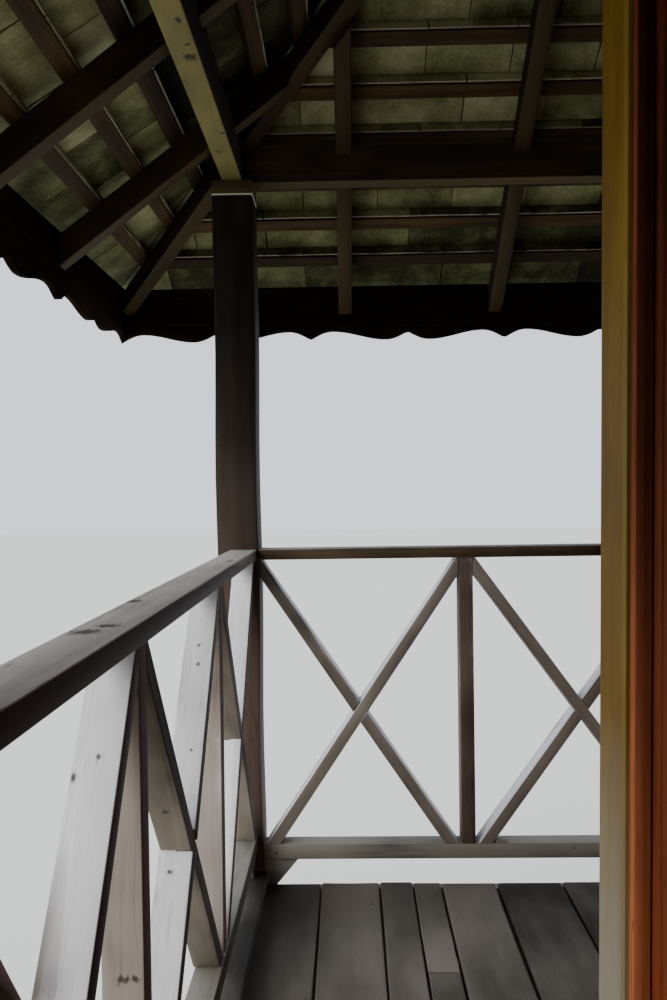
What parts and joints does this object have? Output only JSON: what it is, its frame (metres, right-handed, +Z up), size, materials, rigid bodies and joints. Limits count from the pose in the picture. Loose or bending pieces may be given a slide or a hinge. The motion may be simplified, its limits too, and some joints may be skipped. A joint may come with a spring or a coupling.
{
  "type": "stilt house with a railed gallery and a hipped tile roof",
  "caption": "Small timber house on stilts: a boarded room inside a gallery with X-braced railings, under a hipped tile roof with a scalloped fascia.",
  "frame": {"origin": "on the ground, under the middle of the house", "axes": "+Z up; +Y along the house to its far end, the end seen in the picture; -X is the left long side, +X the side with the entrance"},
  "size_m": [5.144, 7.184, 5.4776],
  "materials": {
    "post_timber": "dark hardwood, weathered grey-purple low down",
    "frame_timber": "dark brown sawn hardwood",
    "rail_timber": "bleached grey weathered hardwood",
    "floor_boards": "worn grey-brown boards",
    "roof_tiles": "matt grey-green flat tiles",
    "fascia_boards": "dark brown boards with a scalloped edge",
    "red_boards": "red-brown oiled hardwood boards",
    "ochre_boards": "ochre corner boards, greyer low down",
    "orange_bead": "orange-brown oiled half-round bead",
    "door_timber": "dark brown oiled hardwood"
  },
  "bodies": {
    "root": {"corner_posts": "post_timber", "middle_posts": "post_timber", "post_head_blocks": "post_timber", "room_posts": "post_timber", "bearers": "frame_timber", "room_bearers": "frame_timber", "joists": "frame_timber", "side_plates": "frame_timber", "end_plates": "frame_timber", "room_side_plates": "frame_timber", "room_end_plates": "frame_timber", "tie_beams": "frame_timber", "king_posts": "frame_timber", "ridge_beam": "frame_timber", "hip_rafters": "frame_timber", "side_rafters": "frame_timber", "end_rafters": "frame_timber", "battens": "frame_timber", "hand_rails": "rail_timber", "bottom_rails": "rail_timber", "rail_posts": "rail_timber", "rising_braces": "rail_timber", "falling_braces": "rail_timber", "rail_wedges": "rail_timber", "side_gallery_floors": "floor_boards", "end_gallery_floors": "floor_boards", "room_floor": "floor_boards", "kerbs": "floor_boards", "left_roof": "roof_tiles", "right_roof": "roof_tiles", "far_roof": "roof_tiles", "near_roof": "roof_tiles", "hip_caps": "roof_tiles", "ridge_cap": "roof_tiles", "side_fascias": "fascia_boards", "end_fascias": "fascia_boards", "left_wall": "red_boards", "end_walls": "red_boards", "right_wall_far": "red_boards", "right_wall_near": "red_boards", "right_wall_head": "red_boards", "corner_boards": "ochre_boards", "corner_beads": "orange_bead", "door_jambs": "door_timber", "door_head": "door_timber"}
  },
  "joints": []
}
